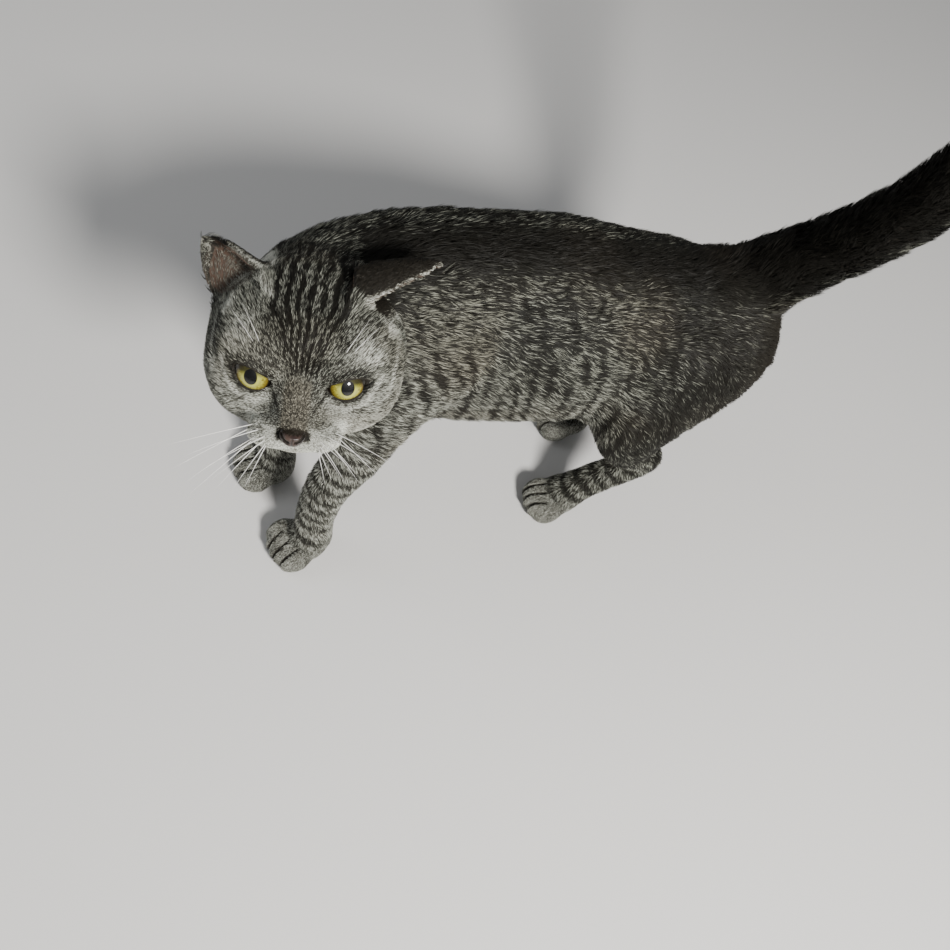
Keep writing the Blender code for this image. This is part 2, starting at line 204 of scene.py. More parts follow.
def solid_field(nodes, low, high, step, reach):
    """Signed distance to the nodes as one body: the thin cuts between them are closed."""
    points, faces, count = [], [], 0
    for node in nodes:
        mesh = frame_mesh(node)
        mesh.calc_loop_triangles()
        points.append(coordinates(mesh))
        faces.append(read(mesh.loop_triangles, "vertices") + count)
        count += len(mesh.vertices)
    points, faces = np.vstack(points), np.vstack(faces)
    spacing = openvdb.createLinearTransform(voxelSize=step)
    parted = openvdb.FloatGrid.createLevelSetFromPolygons(
        points.astype(np.float32), triangles=faces.astype(np.uint32), transform=spacing, halfWidth=3
    )
    outer, quads = parted.convertToQuads(SEAM)
    whole = openvdb.FloatGrid.createLevelSetFromPolygons(
        outer, quads=quads, transform=spacing, halfWidth=math.ceil(reach / step)
    )
    first = np.floor(np.array(low) / step).astype(int)
    last = np.ceil(np.array(high) / step).astype(int)
    values = np.empty(last - first + 1, np.float32)
    whole.copyToArray(values, ijk=tuple(int(k) for k in first))
    return Field(first * step, step, values + SEAM)


class Flesh:
    """The whole body's field, read finely round the head and the paws."""

    def __init__(self):
        nodes = FLESH + ["eye_left", "eye_right", "nose_leather"]
        self.body = solid_field(nodes, LOW - 0.02, HIGH + 0.02, COARSE, 0.0112).blurred(2)
        self.fine = [self.close_up(nodes, ("head", "ear_left", "ear_right"), 0.0056, 3)]
        self.head = self.fine[0]
        for node in (n for n in FLESH if "paw" in n):
            self.fine.append(self.close_up(nodes, (node,), 0.0056, 1))

    def close_up(self, nodes, focus, reach, blur):
        near = np.vstack([corners_of(node) for node in focus])
        low, high = near.min(0) - CLOSE_UP_MARGIN, near.max(0) + CLOSE_UP_MARGIN
        meeting = []
        for node in nodes:
            first, last = corners_of(node)
            if (first < high).all() and (last > low).all():
                meeting.append(node)
        return solid_field(meeting, low, high, FINE, reach).blurred(blur)

    def __call__(self, points):
        value = self.body(points).astype(float)
        for field in self.fine:
            inside = np.minimum(points - field.low, field.high - points).min(1)
            near = inside > 0
            if near.any():
                share = smoothstep(0, CLOSE_UP_BLEND, inside[near])
                value[near] += share * (field(points[near]) - value[near])
        return value

    def slope(self, points, reach=0.0008):
        out = np.empty_like(points)
        for k in range(3):
            step = np.zeros(3)
            step[k] = reach
            out[:, k] = (self(points + step) - self(points - step)) / (2 * reach)
        return out


flesh = Flesh()

# ---- the body's regions


def nearest_on(points, path):
    """Distance to a chain of straight pieces, and its direction there."""
    best = np.full(len(points), 9.0)
    way = np.zeros_like(points)
    for a, b in zip(path[:-1], path[1:]):
        t = np.clip((points - a) @ (b - a) / ((b - a) @ (b - a)), 0, 1)
        gap = np.linalg.norm(points - a - t[:, None] * (b - a), axis=1)
        way[gap < best] = unit(b - a)
        best = np.minimum(best, gap)
    return best, way


class Region:
    """A stretch of the body round a path, with the hair that grows on it (metres; tufts to a square metre)."""

    def __init__(self, name, path, girth, length, height, width, tufts, lie=None):
        self.name, self.path, self.girth = name, np.array(path), girth
        self.hair = np.array([length, height, width, tufts])
        self.lie = lie

    def nearest(self, points):
        return nearest_on(points, self.path)


def offset(point, x=0.0, y=0.0, z=0.0):
    return point + np.array([x, y, z])


def make_regions():
    trunk, rump, neck = middle("trunk"), middle("rump"), middle("neck")
    spine_front = np.array([trunk[0] + 0.004, neck[1] + 0.008, neck[2] - 0.006])
    spine_rear = np.array([trunk[0], rump[1] - 0.02, rump[2] + 0.018])
    root = middle("tail_root")
    tail = [offset(root, y=-0.012, z=-0.03), root, middle("tail_middle"), middle("tail_end"), top_of("tail_end")]
    nape, skull = from_head([[0, 0.078, -0.014], [0, 0.050, 0.0]])
    leg_hair = (0.015, 0.0055, 0.0015, 0.00030, 1.0e6, (0, 0.25, -1))
    regions = [
        Region("trunk", [spine_front, spine_rear], 0.056, 0.0085, 0.0030, 0.00040, 0.72e6, (0, 1, -0.30)),
        Region("rump", [spine_rear, offset(rump, y=0.035)], 0.052, 0.0090, 0.0032, 0.00042, 0.70e6, (0, 0.8, -0.5)),
        Region("neck", [nape, neck, spine_front], 0.038, 0.0080, 0.0026, 0.00036, 0.85e6),
        Region("head", [skull, from_head([0, -0.016, -0.012])], 0.034, 0.0045, 0.0012, 0.00026, 1.9e6),
        Region("tail", tail, 0.019, 0.0085, 0.0036, 0.00042, 0.80e6),
    ]
    for side in BOTH:
        leg, paw = middle(f"foreleg_{side}"), middle(f"forepaw_{side}")
        path = [offset(leg, z=0.050), leg, offset(paw, z=0.014)]
        regions.append(Region(f"foreleg_{side}", path, *leg_hair))
        thigh, shank, foot = middle(f"thigh_{side}"), middle(f"shank_{side}"), middle(f"hindpaw_{side}")
        path = [offset(thigh, z=0.03), offset(thigh, y=-0.012, z=-0.03)]
        regions.append(Region(f"thigh_{side}", path, 0.032, 0.0080, 0.0026, 0.00038, 0.75e6, (0, 0.6, -0.8)))
        path = [offset(shank, z=0.022), shank, offset(foot, z=0.014)]
        regions.append(Region(f"shank_{side}", path, *leg_hair))
        for end, centre in (("fore", paw), ("hind", foot)):
            path = [offset(centre, z=-0.004), offset(centre, y=-0.012, z=-0.008)]
            regions.append(Region(f"{end}paw_{side}", path, 0.015, 0.0019, 0.0005, 0.00020, 2.4e6, (0, -0.9, -0.5)))
        base, ear = ear_base(side), middle(f"ear_{side}")
        path = [base, ear, ear + (ear - base) * 0.8]
        regions.append(Region(f"ear_{side}", path, 0.012, 0.0026, 0.00035, 0.00022, 1.9e6))
    return regions


def ear_base(side):
    """Where an ear grows from: the middle of its points nearest the head's middle."""
    points = coordinates(frame_mesh(f"ear_{side}"))
    away = np.linalg.norm(points - from_head([0, 0.03, 0]), axis=1)
    return points[away < np.quantile(away, 0.25)].mean(0)


REGIONS = make_regions()
NAMES = [region.name for region in REGIONS]
FACE_HAIR = ((0.0014, 0.0042), (0.0005, 0.0011), (0.00018, 0.00010))


def shares(points):
    """How much of each region every point belongs to."""
    weights = np.array([(region.nearest(points)[0] / region.girth + 0.05) ** -7.0 for region in REGIONS]).T
    return weights / weights.sum(1, keepdims=True)


def part_of(share, *names):
    return sum(share[:, NAMES.index(name)] for name in names)


def hair_at(points, share):
    """Length, height, width and tufts at each point, finer towards the nose."""
    hair = share @ np.array([region.hair for region in REGIONS])
    head = part_of(share, "head")
    from_nose = np.linalg.norm(points - middle("nose_leather"), axis=1)
    far = smoothstep(0.006, 0.075, from_nose)
    for k, (least, more) in enumerate(FACE_HAIR):
        hair[:, k] += head * (least + more * far - hair[:, k])
    hair[:, 3] += head * (3.8e6 - 2.1e6 * smoothstep(0, 0.8, far) - hair[:, 3])
    return hair


def lie_at(points, share):
    """The way the hair runs, before it is laid on the skin."""
    way = np.zeros_like(points)
    for k, region in enumerate(REGIONS):
        if region.name == "head":
            own = unit(points - from_head([0, -0.026, -0.010]))
        elif region.lie is not None:
            own = unit(np.array(region.lie, float))[None]
        else:
            own = region.nearest(points)[1]
        way += share[:, k, None] * own
    return unit(way)


# ---- chance that repeats


def scattered(cells, seed):
    """A repeatable number from 0 to 1 for each whole-numbered cell."""
    mixed = (cells * np.array([374761393, 668265263, 2147483647])).sum(-1) + seed * 974634777
    mixed = (mixed ^ (mixed >> 13)) * 1274126177
    return ((mixed ^ (mixed >> 16)) & 0xFFFFFF) / float(0xFFFFFF)


def noise(points, size, seed=0):
    """Smooth noise from 0 to 1, with bumps of the given size (one number, or one for each axis)."""
    at = points / np.asarray(size)
    cell = np.floor(at).astype(np.int64)
    f = at - cell
    f = f * f * (3 - 2 * f)
    return sum(share * scattered(cell + corner, seed) for corner, share in cell_corners(f))



# ---- eyes, as places for the lids

EYES = {}
for SIDE, OUT in (("left", 1.0), ("right", -1.0)):
    TURN = Matrix.Rotation(math.radians(12 * OUT), 3, "Z") @ Matrix.Rotation(math.radians(-13 * OUT), 3, "Y")
    EYES[SIDE] = (middle(f"eye_{SIDE}"), np.array(TURN.transposed()) @ HEAD_AXES, OUT)

LID_WIDTH, LID_TOP, LID_BOTTOM, LID_DROP = 0.90, 0.31, 0.48, -0.06
LID_THICK, LID_REACH, SOCKET_DEPTH = 0.0009, 0.0045, 0.0016


def lid_gap(points, side):
    """Metres outside the opening between the lids (negative inside it), and the distance from the eye's middle."""
    centre, axes, out = EYES[side]
    local = (points - centre) @ axes.T
    away = np.linalg.norm(local, axis=1)
    u = local[:, 0] / EYE_RADIUS * out
    v = local[:, 2] / EYE_RADIUS - LID_DROP
    across = (u + 0.02) / LID_WIDTH
    arch = 1 - across**2
    upper = LID_TOP * np.sign(arch) * np.abs(arch) ** 0.85 + 0.09 * across * arch
    lower = -LID_BOTTOM * np.sign(arch) * np.abs(arch) ** 1.0 + 0.10 * across * arch
    gap = np.maximum(v - upper, lower - v) * EYE_RADIUS * 0.9
    gap[local[:, 1] > 0.002] = 0.02
    return gap, away


def shape_lids(points):
    """Raises the lids over each eyeball, and sinks the skin behind it."""
    for side, (centre, _, _) in EYES.items():
        near = np.linalg.norm(points - centre, axis=1) < EYE_RADIUS + 0.009
        some = points[near]
        gap, away = lid_gap(some, side)
        rim = EYE_RADIUS + LID_THICK
        natural = np.maximum(away, rim)
        lid = rim + (natural - rim) * smoothstep(0.0004, LID_REACH, gap)
        closed = smoothstep(-0.00025, 0.00045, gap)
        radius = (EYE_RADIUS - SOCKET_DEPTH) + (lid - EYE_RADIUS + SOCKET_DEPTH) * closed
        radius = np.where(gap > LID_REACH, away, radius)
        points[near] = centre + (some - centre) * (radius / away)[:, None]
    return points


# ---- lines on the face


def line_distance(points, path):
    return nearest_on(points, np.array(path))[0]


def on_side(path, out):
    """A path drawn for the left of the head, on the left (1) or the right (-1)."""
    return [(out * x, y, z) for x, y, z in path]


PHILTRUM = [(0, -0.0292, -0.0205), (0, -0.0275, -0.0250)]
LIP = [
    (0, -0.0275, -0.0250), (0.0045, -0.0262, -0.0268), (0.0105, -0.0215, -0.0270),
    (0.0160, -0.0140, -0.0262), (0.0195, -0.0050, -0.0235),
]


def mouth_distance(q):
    lips = np.minimum(line_distance(q, LIP), line_distance(q, on_side(LIP, -1)))
    return np.minimum(lips, line_distance(q, PHILTRUM))


def press_in(points, near, depth):
    points[near] -= unit(flesh.slope(points[near])) * depth[:, None]
    return points


def shape_face(points):
    """Presses in the mouth line and the groove under the nose."""
    q = to_head(points)
    near = np.linalg.norm(q - np.array([0, -0.018, -0.024]), axis=1) < 0.035
    return press_in(points, near, 0.0011 * bell(mouth_distance(q[near]), 0.0008))


# ---- the toes

TOE_PITCH, TOE_BACK = {"fore": 0.42 * 0.0195, "hind": 0.42 * 0.0180}, 0.0178
PAW_TURNS = {"forepaw_left": 28, "forepaw_right": -4, "hindpaw_left": -10, "hindpaw_right": -4}


def toe_grooves(points):
    """Distance from the nearest groove between two toes, and 1 on the part of the paw that has toes."""
    distance, toes = np.full(len(points), 1.0), np.zeros(len(points))
    for paw, turn in PAW_TURNS.items():
        low, high = corners_of(paw)
        near = ((points > low - 0.003) & (points < high + 0.003)).all(1)
        turned_by = np.array(Matrix.Rotation(math.radians(turn), 3, "Z"))
        x, y, _ = ((points[near] - [(low[0] + high[0]) / 2, low[1] + TOE_BACK, 0]) @ turned_by).T
        step = TOE_PITCH[paw[:4]] + 0.10 * np.minimum(y + 0.004, 0)
        distance[near] = np.minimum(np.abs(x), np.abs(np.abs(x) - step))
        toes[near] = smoothstep(0.001, -0.005, y)
    return distance, toes


def shape_toes(points):
    """Presses in the grooves between the toes."""
    distance, toes = toe_grooves(points)
    near = (toes > 0) & (distance < 0.004)
    depth = 0.0021 * toes[near] * bell(distance[near], 0.0011) * smoothstep(0.001, 0.006, points[near, 2])
    return press_in(points, near, depth)


# ---- the skin


def step_to(points, level, least_slope, longest):
    """One step towards where the flesh's distance has the given value."""
    slope = flesh.slope(points)
    step = (flesh(points) - level) / np.maximum((slope**2).sum(1), least_slope)
    return points - slope * np.clip(step, -longest, longest)[:, None]


def settle(points, depth, times=4):
    """Moves points to the given depth inside the flesh's outline."""
    for _ in range(times):
        points = step_to(points, -depth, 0.2, 0.002)
    return points


def split_faces(bm, wanted):
    """Splits into four each face whose middle is wanted."""
    faces = list(bm.faces)
    chosen = np.flatnonzero(wanted(np.array([face.calc_center_median() for face in faces])))
    edges = {edge for k in chosen for edge in faces[k].edges}
    bmesh.ops.subdivide_edges(bm, edges=list(edges), cuts=1, use_grid_fill=True)


def in_close_up(p):
    """True on the head and the paws."""
    found = ((p > flesh.head.low + 0.011) & (p < flesh.head.high - 0.011)).all(1)
    for paw in PAW_TURNS:
        low, high = corners_of(paw)
        found |= ((p > low - 0.002) & (p < high - 0.004)).all(1)
    return found


def on_face(p):
    """True round the eyes and on the snout."""
    found = np.linalg.norm(p - from_head([0, -0.020, -0.020]), axis=1) < 0.019
    for centre, _, _ in EYES.values():
        found |= np.linalg.norm(p - centre, axis=1) < 0.0175
    return found


def by_groove(p):
    distance, toes = toe_grooves(p)
    return (toes > 0) & (distance < 0.0022)


def make_skin():
    points, quads = flesh.body.faces_at_zero()
    mesh = bpy.data.meshes.new("skin")
    mesh.from_pydata(points.tolist(), [], quads.tolist())
    bm = bmesh.new()
    bm.from_mesh(mesh)
    for wanted in (in_close_up, on_face, by_groove):
        split_faces(bm, wanted)
    bmesh.ops.triangulate(bm, faces=[f for f in bm.faces if len(f.verts) > 4])
    bm.to_mesh(mesh)
    bm.free()
    points = coordinates(mesh)
    points = settle(points, 0.0)
    depth = hair_at(points, shares(points))[:, 1]
    points = settle(points, depth)
    points = shape_toes(shape_face(shape_lids(points)))
    points[:, 2] = np.maximum(points[:, 2], FLOOR_GAP)
    move_points(mesh, points)
    mesh.update()
    return mesh


skin_mesh = make_skin()

# ---- markings, with painted light and shade, shared by skin and coat

EAR_BACKS = {"left": (-0.25, 0.05, 0.95), "right": (0.50, 0.80, 0.30)}
# The ears' pale edges are partly pale hair at the margin and partly painted light on the lit rim.
EAR_LIGHT_EDGES = {"left": (0.7, -0.7, -0.1), "right": (0.9, -0.4, 0.1)}
# The ear backs are near-black: partly their own dark fur, partly painted shade.
EAR_BACK_FUR_AND_SHADE, EAR_INSIDE_MARKS, EAR_EDGE_HAIR_AND_LIGHT = np.array([[0.97, 0.0, 0.45], [0.25, 0.20, 0.50], [0.0, 1.0, 0.1]])
BACKBONE = np.array([middle("head"), middle("neck"), middle("trunk"), middle("rump"), middle("tail_root")])
BACKBONE[:, 1] += (0.01, 0.0, 0.0, 0.01, 0.02)
FLANK_HEIGHT = float(middle("trunk")[2]) + 0.012
TAIL_FRONT = np.array([0.0, -1.0, 0.25])


def wave(phase, low, high):
    return smoothstep(low, high, 0.5 + 0.5 * np.cos(2 * np.pi * phase))


def over(base, share, value):
    return base + share * (value - base)


def body_marks_and_shading(p, n, share):
    """Dark, pale and warm shares on everything but the head, with painted shade on the hindquarters and between the
    toes, and painted light on the front.
    """
    part = {name: share[:, k] for k, name in enumerate(NAMES)}
    legs = sum(part[name] for name in NAMES if "leg" in name or "shank" in name)
    paws = sum(part[name] for name in NAMES if "paw" in name)
    side = p[:, 0] - np.interp(p[:, 1], BACKBONE[:, 1], BACKBONE[:, 0])
    height = (p[:, 2] - FLANK_HEIGHT) / 0.06
    bend = 0.0050 * (noise(p, 0.026, 1) - 0.5) * 2
    broken = smoothstep(0.24, 0.52, noise(p, (0.007, 0.007, 0.020), 2))
    spots = smoothstep(0.34, 0.60, noise(p, 0.0085, 3))
    upper = smoothstep(0.15, 0.75, height)
    stripe = wave((p[:, 1] + 0.16 * (p[:, 2] - FLANK_HEIGHT) + bend) / 0.0096, 0.42, 0.86)
    dark = stripe * broken * over(1.0, upper, spots) * 0.95
    dark = np.maximum(dark, 0.12 + 0.28 * smoothstep(0.35, 0.75, noise(p, 0.030, 4)))
    spine = bell(side, 0.019) * smoothstep(0.2, 0.7, n[:, 2])
    dark = np.maximum(dark, spine * 0.95)
    dark = np.maximum(dark, 0.45 * smoothstep(0.5, 1.0, n[:, 2]) * (1 - part["head"]))
    thighs = part["thigh_left"] + part["thigh_right"]
    # Darker towards the rear and on the thighs: partly the coat's own darker rump, partly painted shade.
    hind = np.maximum(smoothstep(0.0, 0.07, p[:, 1]), thighs)
    above_legs = (1 - legs) * (1 - paws)
    dark = dark + (1 - dark) * 0.42 * hind * above_legs
    dark = np.maximum(dark, 0.88 * smoothstep(0.07, 0.13, p[:, 1]) * above_legs * (1 - 0.5 * thighs))
    rings = wave((p[:, 2] + 0.35 * p[:, 1] + bend) / 0.0125, 0.40, 0.80)
    dark = over(dark, legs, 0.12 + rings * 0.60 * over(1.0, smoothstep(0.0, 0.8, n[:, 1]), 0.5))
    dark = over(dark, paws, 0.16 + 0.25 * smoothstep(0.45, 0.8, noise(p, 0.006, 5)))
    distance, toes = toe_grooves(p)
    # Painted shade in the creases between the toes.
    toe_crease_shade = smoothstep(0.0013, 0.0005, distance) * toes
    dark = np.maximum(dark, toe_crease_shade)
    way = REGIONS[NAMES.index("tail")].nearest(p)[1]
    back = unit(TAIL_FRONT - way * (way @ TAIL_FRONT)[:, None])
    dorsal = smoothstep(-0.25, 0.55, (n * back).sum(1))
    hoops = wave((p[:, 2] + bend) / 0.032, 0.35, 0.75)
    dark = over(dark, part["tail"], np.maximum(dorsal, 0.35 + 0.4 * hoops))
    pale = 0.75 * smoothstep(0.1, 0.9, -n[:, 2]) * (1 - part["tail"])
    # Paler towards the chest and shoulders: partly a paler chest, partly painted light on the lit front.
    front = smoothstep(-0.02, -0.11, p[:, 1])
    pale = np.maximum(pale, 0.42 * front * smoothstep(0.9, -0.5, height))
    pale = np.maximum(pale, 0.30 * smoothstep(0.2, -0.9, height))
    pale = over(pale, legs, 0.42)
    pale = over(pale, paws, 0.62) * (1 - toe_crease_shade)
    # Less pale on the hindquarters: partly the coat's own tone, partly painted shade.
    pale = pale * (1 - 0.8 * hind * (1 - paws) * (1 - 0.4 * legs))
    pale = pale * (1 - 0.6 * dark)
    warm = smoothstep(0.50, 0.80, noise(p, 0.034, 6)) * smoothstep(1.3, 0.2, np.abs(height)) * 0.7
    warm = np.maximum(warm, 0.45 * smoothstep(0.3, 0.9, -n[:, 2]))
    return dark, pale, warm


CHEEK_EDGE = [
    (0.0395, 0.0210, 0.0150), (0.0387, 0.0137, 0.0106), (0.0360, 0.0017, -0.0059), (0.031, -0.006, -0.0150),
]
CHEEK_LINES = (
    (0.80, [(0.0275, -0.0027, -0.0005), (0.033, 0.006, -0.003), (0.0375, 0.020, -0.006)]),
    (0.45, [(0.0215, -0.0075, -0.0105), (0.0300, 0.0000, -0.0125), (0.036, 0.014, -0.014)]),
    (0.50, [(0.0195, -0.0125, -0.0150), (0.0290, -0.0030, -0.0185), (0.035, 0.016, -0.021)]),
)
TEAR_LINE = [
    (0.0115, -0.0095, -0.0040), (0.0078, -0.0165, -0.0075), (0.0066, -0.0225, -0.0105), (0.0062, -0.0262, -0.0140),
]
PAD = [(0.006, -0.026, -0.0205), (0.0185, -0.012, -0.0215)]
EAR_FOOT = [(-0.0158, 0.0128, 0.0272), (-0.0185, 0.0165, 0.0290), (-0.0225, 0.0230, 0.0320)]


def near_line(q, path, width):
    """1 on a line drawn on the head, fading to 0 about a width away."""
    return bell(line_distance(q, path), width)


def face_marks_and_shading(p, n):
    """Dark, pale and warm shares on the head, in the head's own axes, with painted shade under the brows and painted
    light on the left temple and along the ear's foot.
    """
    q = to_head(p)
    x, y, z = q.T
    m = HEAD_AXES @ n.T
    wander = (noise(p, 0.009, 11) - 0.5) * 0.0020
    spread = 0.34 + 0.66 * smoothstep(-0.014, 0.012, y)
    lane = (x - 0.0008 + wander) / spread
    crown = smoothstep(-0.0150, -0.0105, y) * smoothstep(-0.001, 0.004, z) * smoothstep(0.0175, 0.0145, np.abs(lane))
    stripe = wave(lane / 0.0049, 0.34, 0.66) * over(1.0, 0.5, smoothstep(0.2, 0.5, noise(p, 0.004, 12)))
    dark = np.maximum(stripe * crown, 0.22 * crown)
    dark = np.maximum(dark, 0.55 * smoothstep(0.040, 0.058, y))
    dark = np.maximum(dark, 0.30 * smoothstep(0.45, 0.70, noise(p, 0.0075, 14)))
    pale = np.full(len(p), 0.10)
    warm = 0.35 * smoothstep(0.4, 0.7, noise(p, 0.016, 13))
    sides = smoothstep(0.010, -0.012, z)
    pale = np.maximum(pale, 0.45 * sides)
    for side in BOTH:
        gap, _ = lid_gap(p, side)
        centre, axes, out = EYES[side]
        above = ((p - centre) @ axes.T)[:, 2]
        below = smoothstep(0.003, -0.005, above)
        temple = np.exp(-(((out * x - 0.026) / 0.0085) ** 2 + ((y + 0.001) / 0.010) ** 2))
        temple *= smoothstep(0.004, 0.010, z)
        # The left temple is painted paler than the right: painted light on the lit left side of the head.
        pale = np.maximum(pale, (0.80 if out > 0 else 0.50) * temple)
        pocket = np.exp(-(((out * x - 0.0345) / 0.0045) ** 2 + ((y - 0.0165) / 0.006) ** 2))
        pocket *= smoothstep(0.012, 0.017, z)
        pale = np.maximum(pale, 0.95 * pocket)
        pale = np.maximum(pale, 0.85 * near_line(q, on_side(CHEEK_EDGE, out), 0.0019))
        ring = bell(gap - 0.0046, 0.0022) * (gap < 0.01)
        pale = np.maximum(pale, ring * (0.25 + 0.60 * below))
        dark = dark * (1 - 0.7 * ring * below)
        # Painted shade under the brow: a dark band above the upper lid.
        brow_shade = smoothstep(0.0042, 0.0026, gap) * smoothstep(0.0005, 0.003, above)
        dark = np.maximum(dark, 0.40 * brow_shade)
        for strength, path in CHEEK_LINES:
            dark = np.maximum(dark, strength * near_line(q, on_side(path, out), 0.0015))
        dark = np.maximum(dark, 0.80 * near_line(q, on_side(TEAR_LINE, out), 0.0015))
        liner = smoothstep(0.0017, 0.0009, gap) * (gap < 0.01)
        dark = np.maximum(dark, liner)
        pale = pale * (1 - liner)
        pad = smoothstep(0.0095, 0.0060, line_distance(q, on_side(PAD, out))) * smoothstep(-0.0135, -0.0160, z)
        pale = over(pale, pad, 0.95)
        dark = dark * (1 - pad)
        warm = over(warm, pad, 0.0)
        for row in range(4):
            drop = 0.0026 * (row - 1.0)
            path = on_side([(0.0085, -0.0265, -0.0182 - drop), (0.0185, -0.0170, -0.0180 - drop)], out)
            dashes = near_line(q, path, 0.00100) * wave((y + 0.0013 * row) / 0.0036, 0.30, 0.60)
            dark = np.maximum(dark, 0.95 * dashes)
    bridge = smoothstep(0.0062, 0.0040, np.abs(x)) * smoothstep(-0.010, -0.016, y) * smoothstep(-0.0165, -0.0145, z)
    warm = over(warm, bridge, 0.90)
    pale = over(pale, bridge, 0.30)
    dark = over(dark, bridge, 0.20)
    round_nose = np.sqrt((x / 0.0052) ** 2 + ((z + 0.0168) / 0.0036) ** 2)
    above_lip = (y < -0.022) * smoothstep(-0.0195, -0.0180, z)
    dark = np.maximum(dark, smoothstep(1.45, 1.10, round_nose) * above_lip)
    pale = pale * (1 - smoothstep(1.35, 1.05, round_nose) * above_lip)
    chin = smoothstep(-0.024, -0.028, z) * smoothstep(0.030, 0.0, y)
    pale = over(pale, chin, 0.85)
    throat = smoothstep(0.0, 0.7, -m[2]) * smoothstep(-0.006, -0.020, z)
    pale = np.maximum(pale, 0.7 * throat)
    dark = np.maximum(dark, 0.9 * near_line(q, LIP, 0.0007) + 0.9 * near_line(q, on_side(LIP, -1), 0.0007))
    dark = np.maximum(dark, 0.9 * near_line(q, PHILTRUM, 0.0006))
    # A pale line from the ear's foot down the head: partly pale hair, partly painted light continuing the ear's lit
    # rim.
    rim = near_line(q, EAR_FOOT, 0.0022)
    pale = np.maximum(pale, rim)
    dark = dark * (1 - rim)
    return dark, pale * (1 - 0.85 * dark), warm


def ear_inside(n, share, side):
    facing = n @ unit(-np.array(EAR_BACKS[side]) @ HEAD_AXES)
    return smoothstep(-0.05, 0.45, facing) * smoothstep(0.35, 0.65, part_of(share, f"ear_{side}"))


def ear_edge(p, n, share, side):
    """1 on the pale edge of an ear: partly pale hair at the margin, partly painted light on the lit rim."""
    turn = n @ unit(np.array(EAR_BACKS[side]) @ HEAD_AXES)
    toward = (p - middle(f"ear_{side}")) @ unit(np.array(EAR_LIGHT_EDGES[side]) @ HEAD_AXES)
    band = bell(turn - 0.10, 0.34) * smoothstep(-0.004, 0.002, toward)
    return band * smoothstep(0.2, 0.5, part_of(share, f"ear_{side}"))


def markings_and_shading(p, n, share):
    """Dark, pale, warm and bare shares at each point, with painted light and shade among them."""
    marks_and_shading = np.array(body_marks_and_shading(p, n, share)).T
    head = part_of(share, "head")
    ears = part_of(share, "ear_left", "ear_right")
    near = head > 0.02
    face = np.array(face_marks_and_shading(p[near], n[near])).T
    blend = smoothstep(0.25, 0.75, head[near])[:, None]
    marks_and_shading[near] += blend * (face - marks_and_shading[near])
    # Ear backs: their own dark fur with painted shade.
    marks_and_shading += smoothstep(0.3, 0.7, ears)[:, None] * (EAR_BACK_FUR_AND_SHADE - marks_and_shading)
    bare = np.zeros(len(p))
    for side in BOTH:
        inside = ear_inside(n, share, side)
        marks_and_shading += inside[:, None] * (EAR_INSIDE_MARKS - marks_and_shading)
        bare = np.maximum(bare, inside)
        # Pale ear edges: pale hair with painted light on the rim.
        edge = ear_edge(p, n, share, side)
        marks_and_shading += edge[:, None] * (EAR_EDGE_HAIR_AND_LIGHT - marks_and_shading)
        bare = bare * (1 - edge)
    return np.clip(np.column_stack([marks_and_shading, bare]), 0, 1)


# ---- an unwrap of the skin's own shape

CHART_GAP = 0.006


def unwrap(mesh, share, normals):
    """A place in a square for each corner: each region laid out flat by the way its faces look, and packed."""
    vertex = read(mesh.loops, "vertex_index", 1)
    face = np.repeat(np.arange(len(mesh.polygons)), read(mesh.polygons, "loop_total", 1))
    centre_normal = np.zeros((len(mesh.polygons), 3))
    np.add.at(centre_normal, face, normals[vertex])
    region = np.zeros((len(mesh.polygons), share.shape[1]), np.float32)
    np.add.at(region, face, share[vertex].astype(np.float32))
    axis = np.abs(centre_normal).argmax(1)
    positive = np.take_along_axis(centre_normal, axis[:, None], 1)[:, 0] > 0
    chart = region.argmax(1) * 6 + axis * 2 + positive
    points = coordinates(mesh)[vertex]
    own = chart[face]
    kept = np.array([[1, 2], [0, 2], [0, 1]])[axis[face]]
    flat = np.take_along_axis(points, kept, 1)
    charts = np.unique(own)
    lows = np.array([flat[own == c].min(0) for c in charts])
    sizes = np.array([flat[own == c].max(0) for c in charts]) - lows + CHART_GAP
    order = np.argsort(-sizes[:, 1])
    width = math.sqrt(float(sizes.prod(1).sum())) * 1.12
    places, x, y, row = np.zeros_like(lows), 0.0, 0.0, 0.0
    for k in order:
        if x + sizes[k, 0] > width:
            x, y, row = 0.0, y + row, 0.0
        places[k] = (x, y)
        x, row = x + sizes[k, 0], max(row, sizes[k, 1])
    index = np.searchsorted(charts, own)
    return (flat - lows[index] + places[index] + CHART_GAP / 2) / max(width, y + row)


def set_attribute(mesh, name, values):
    """A value for each vertex: one number, or four as a colour."""
    kind, key = ("FLOAT", "value") if values.ndim == 1 else ("FLOAT_COLOR", "color")
    attribute = mesh.attributes.new(name, kind, "POINT")
    attribute.data.foreach_set(key, np.ascontiguousarray(values, dtype=np.float32).ravel())


def set_places(mesh, places):
    """The map that the coat's look is kept on."""
    layer = mesh.uv_layers.new(name="OFBake")
    layer.data.foreach_set("uv", places.ravel().astype(np.float32))


# ---- materials


